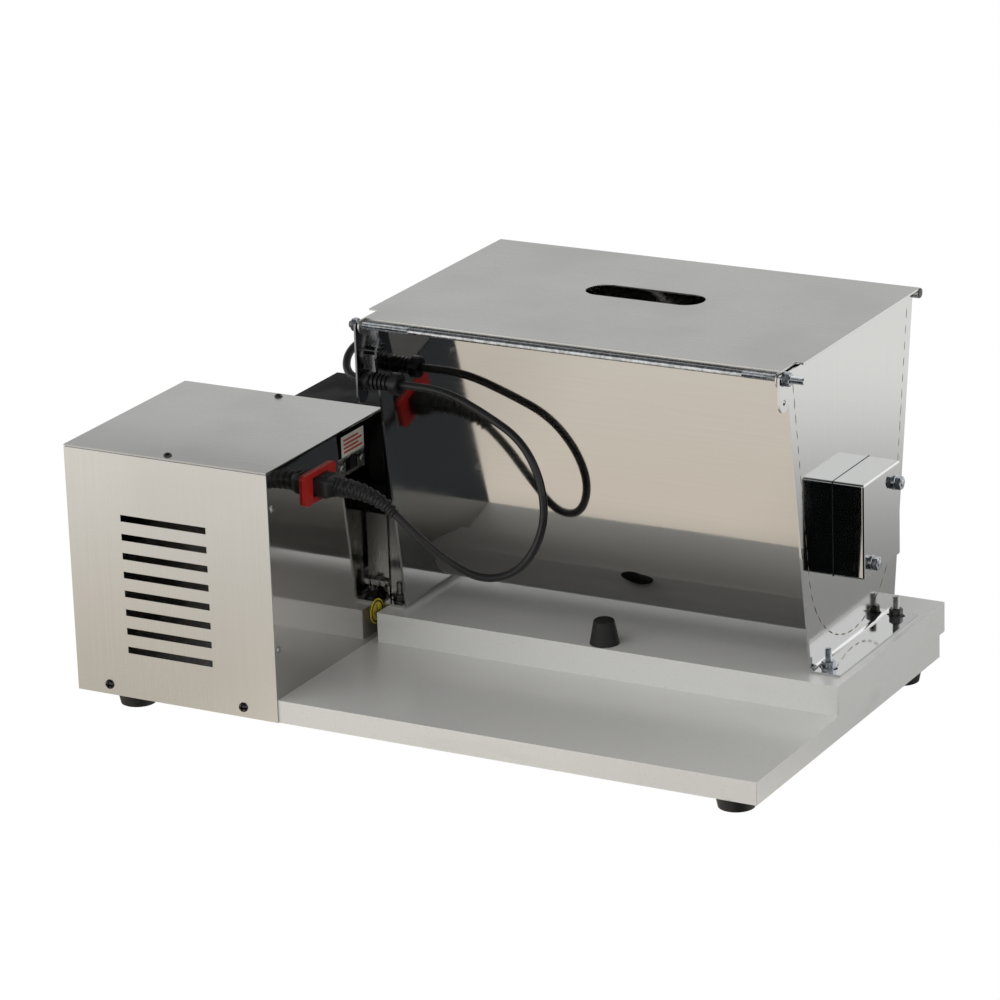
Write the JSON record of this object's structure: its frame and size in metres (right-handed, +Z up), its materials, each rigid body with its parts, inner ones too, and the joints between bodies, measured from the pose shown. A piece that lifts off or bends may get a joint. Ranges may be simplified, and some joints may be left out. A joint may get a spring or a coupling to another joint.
{
  "type": "shaved ice machine",
  "caption": "Trough ice machine: hinged lid with a hand slot over a stainless trough with a driven shaft, louvred motor box, boards on rubber feet and a mains cord.",
  "frame": {"origin": "on the table, under the middle of the machine's bounding box without its cord", "axes": "+X along the shaft from the motor box to the bearing cover, +Y from the inlet side to the operator's side, +Z up"},
  "size_m": [0.631, 0.3916, 0.3232],
  "materials": {
    "board": "pale grey laminate over dense board, satin",
    "stainless_mirror": "mirror-polished stainless sheet",
    "stainless_satin": "satin stainless sheet",
    "stainless_machined": "turned stainless",
    "zinc": "zinc-plated steel fasteners",
    "rubber": "black moulded rubber",
    "black_plastic": "black moulded plastic",
    "black_paint": "gloss black enamel",
    "cast_iron": "grey cast iron",
    "motor_steel": "dark painted motor housing",
    "gear_steel": "machined steel",
    "bronze": "machined bronze",
    "red_plastic": "red moulded plastic",
    "label": "yellow vinyl",
    "label_white": "white vinyl with plain red bars",
    "cord_rubber": "black PVC cord sheath",
    "pins": "nickel-plated brass"
  },
  "bodies": {
    "frame": {"lower_board": "board", "upper_board": "board", "feet": "rubber", "foot_screws": "zinc", "trough_shell": "stainless_mirror", "end_plate_left": "stainless_mirror", "end_plate_right": "stainless_mirror", "flange_studs": "zinc", "flange_nuts": "zinc", "hinge_rod": "zinc", "hinge_nuts": "zinc", "cord_bracket": "stainless_mirror", "bracket_rivet": "zinc", "lid_bumper": "rubber", "bearing_left": "cast_iron", "bearing_right": "cast_iron", "bearing_cover": "stainless_mirror", "cover_bolts": "zinc", "box_front_panel": "stainless_satin", "box_body": "stainless_mirror", "box_top_cover": "stainless_satin", "panel_screws": "zinc", "panel_rivets": "zinc", "gear_housing": "black_paint", "gear_cap": "black_paint", "gear_bracket": "stainless_satin", "motor": "motor_steel", "inlet_flange": "red_plastic", "power_connector": "black_plastic", "switch_frame": "black_plastic", "switch_screws": "zinc", "side_label": "label_white", "earth_disc": "label", "earth_stud": "zinc", "cord_sleeve": "black_plastic", "power_cord": "cord_rubber", "cord_coil": "cord_rubber", "mains_plug": "black_plastic"},
    "lid": {"lid": "stainless_satin"},
    "rotor": {"rotor_shaft": "stainless_machined", "breaker_arms": "stainless_machined", "worm_wheel": "bronze"},
    "motor_rotor": {"motor_shaft": "gear_steel", "motor_fan": "black_plastic", "worm": "gear_steel"},
    "switch": {"switch_slider": "black_plastic"}
  },
  "joints": [
    {"name": "lid_hinge", "type": "hinge", "parent": "frame", "child": "lid", "pos_m": [0.08295, -0.0642, 0.317], "axis": [1, 0, 0], "range_deg": [0, 230]},
    {"name": "rotor_spin", "type": "hinge", "parent": "frame", "child": "rotor", "pos_m": [0.09185, 0.0623, 0.1616], "axis": [1, 0, 0], "continuous": true},
    {"name": "motor_spin", "type": "hinge", "parent": "frame", "child": "motor_rotor", "pos_m": [-0.16355, -0.0432, 0.1231], "axis": [0, 1, 0], "continuous": true},
    {"name": "switch_slide", "type": "slide", "parent": "frame", "child": "switch", "axis": [0, 1, 0], "range_m": [-0.0096, 0]}
  ],
  "couplings": [
    {"joint": "motor_spin", "follows": "rotor_spin", "ratio": 20}
  ]
}
